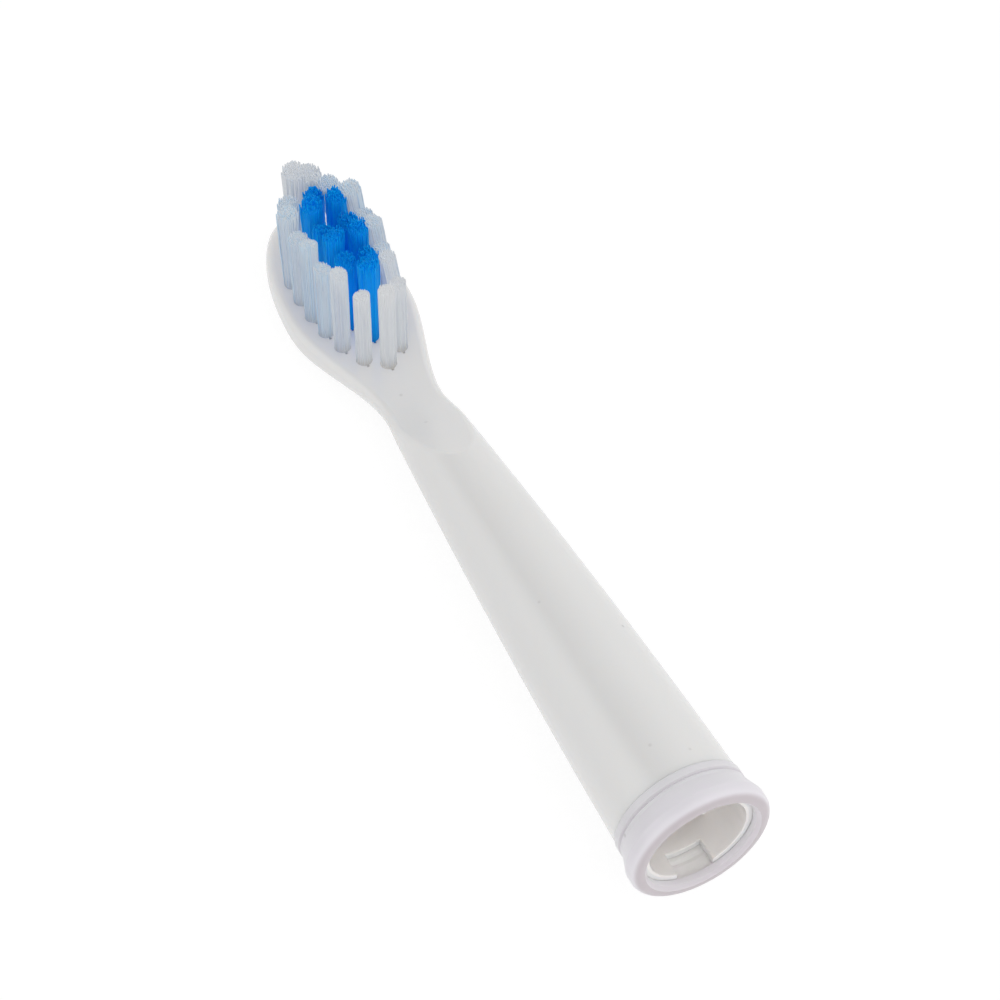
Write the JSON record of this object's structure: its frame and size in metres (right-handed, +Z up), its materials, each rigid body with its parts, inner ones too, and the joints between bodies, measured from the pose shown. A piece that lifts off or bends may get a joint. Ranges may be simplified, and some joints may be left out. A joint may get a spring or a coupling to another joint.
{
  "type": "electric toothbrush head",
  "caption": "Press-on electric toothbrush head: hollow tapered stem, slim neck, egg-shaped plate with white and blue bristle tufts, pale ring at the open end.",
  "frame": {"origin": "on the surface that the head lies on, under the middle of its box", "axes": "+X right, +Y from the open end to the tip of the head, +Z up, the way the bristles point"},
  "size_m": [0.0144, 0.0886, 0.0155],
  "materials": {
    "body_plastic": "satin white moulding",
    "ring_plastic": "pale lavender, slightly translucent",
    "white_filament": "clear white nylon filaments",
    "blue_filament": "bright blue nylon filaments",
    "anchor_metal": "plain stamped strip"
  },
  "bodies": {
    "root": {"base_ring": "ring_plastic", "blue_tuft_01": "blue_filament", "blue_tuft_02": "blue_filament", "blue_tuft_03": "blue_filament", "blue_tuft_04": "blue_filament", "blue_tuft_05": "blue_filament", "blue_tuft_06": "blue_filament", "blue_tuft_07": "blue_filament", "blue_tuft_08": "blue_filament", "blue_tuft_09": "blue_filament", "blue_tuft_10": "blue_filament", "brush_body": "body_plastic", "tuft_anchors": "anchor_metal", "white_tuft_01": "white_filament", "white_tuft_02": "white_filament", "white_tuft_03": "white_filament", "white_tuft_04": "white_filament", "white_tuft_05": "white_filament", "white_tuft_06": "white_filament", "white_tuft_07": "white_filament", "white_tuft_08": "white_filament", "white_tuft_09": "white_filament", "white_tuft_10": "white_filament", "white_tuft_11": "white_filament", "white_tuft_12": "white_filament", "white_tuft_13": "white_filament", "white_tuft_14": "white_filament", "white_tuft_15": "white_filament", "white_tuft_16": "white_filament", "white_tuft_17": "white_filament"}
  },
  "joints": []
}
